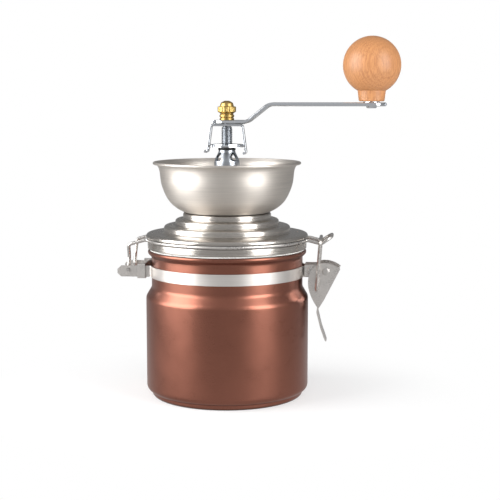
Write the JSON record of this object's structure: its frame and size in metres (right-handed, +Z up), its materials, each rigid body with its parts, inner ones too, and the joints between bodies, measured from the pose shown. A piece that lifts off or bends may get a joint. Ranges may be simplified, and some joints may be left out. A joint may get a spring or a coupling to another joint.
{
  "type": "hand crank coffee grinder",
  "caption": "Hand crank burr coffee grinder: hopper bowl on a hinged lid, over a clip-top metal canister that catches the grounds.",
  "frame": {"origin": "centre of the canister's flat base, on the axis of the canister and of the crank shaft", "axes": "+Z up along the shaft, +X from the lid hinge towards the latch and along the crank arm at rest, +Y to the rear by the right-hand rule"},
  "size_m": [0.1711, 0.1, 0.2197],
  "materials": {
    "copper": "satin metallic copper lacquer on pressed steel",
    "band_steel": "satin stainless strip",
    "brushed_steel": "spun and brushed stainless sheet",
    "wire_steel": "drawn bright wire",
    "silicone": "translucent white silicone",
    "zinc_plate": "bright bluish zinc plating",
    "nylon": "black nylon",
    "cast_iron": "dark cast iron",
    "bronze": "sintered bronze",
    "brass": "bright turned brass",
    "beech": "lacquered beech"
  },
  "bodies": {
    "canister": {"canister": "copper", "neck_band_rear": "band_steel", "neck_band_front": "band_steel", "hinge_bridge": "band_steel", "latch_plate_rear": "band_steel", "latch_plate_front": "band_steel", "band_rivet": "band_steel", "lever_pin": "band_steel"},
    "lid": {"lid": "brushed_steel", "lid_liner": "brushed_steel", "lid_gasket": "silicone", "lid_wire": "wire_steel", "hopper_bowl": "brushed_steel", "bearing_bridge": "zinc_plate", "upper_bush": "nylon", "bridge_screws": "zinc_plate", "screw_nuts": "zinc_plate", "burr_housing": "cast_iron", "lower_bush": "bronze", "ring_burr": "cast_iron", "burr_spring": "wire_steel"},
    "adjuster": {"adjusting_nut": "zinc_plate"},
    "crank": {"drive_shaft": "zinc_plate", "lock_bracket": "zinc_plate", "crank_arm": "zinc_plate", "dome_nut": "brass", "cone_burr": "cast_iron", "burr_washer": "zinc_plate", "burr_nut": "zinc_plate", "knob_pin": "zinc_plate"},
    "knob": {"knob": "beech", "knob_bush": "zinc_plate"},
    "lever": {"latch_lever": "band_steel"},
    "latch_wire": {"latch_wire": "wire_steel"}
  },
  "joints": [
    {"name": "lid_open", "type": "hinge", "parent": "canister", "child": "lid", "pos_m": [-0.0596, 0, 0.0786], "axis": [0, -1, 0], "range_deg": [0, 100]},
    {"name": "crank_spin", "type": "hinge", "parent": "lid", "child": "adjuster", "pos_m": [0, 0, 0.1538], "axis": [0, 0, 1], "continuous": true},
    {"name": "grind_adjust", "type": "slide", "parent": "adjuster", "child": "crank", "axis": [0, 0, 1], "range_m": [0, 0.0012], "deforming": ["burr_spring"]},
    {"name": "knob_spin", "type": "hinge", "parent": "crank", "child": "knob", "pos_m": [0.0875, 0, 0.2], "axis": [0, 0, 1], "continuous": true},
    {"name": "lever_swing", "type": "hinge", "parent": "canister", "child": "lever", "pos_m": [0.061, 0, 0.0781], "axis": [0, -1, 0], "range_deg": [0, 100]},
    {"name": "latch_wire_swing", "type": "hinge", "parent": "lever", "child": "latch_wire", "pos_m": [0.0556, 0, 0.0669], "axis": [0, -1, 0], "range_deg": [-150, 0]}
  ],
  "couplings": [
    {"joint": "lever_swing", "follows": "lid_open", "ratio": 1},
    {"joint": "latch_wire_swing", "follows": "lid_open", "ratio": -1.5}
  ]
}
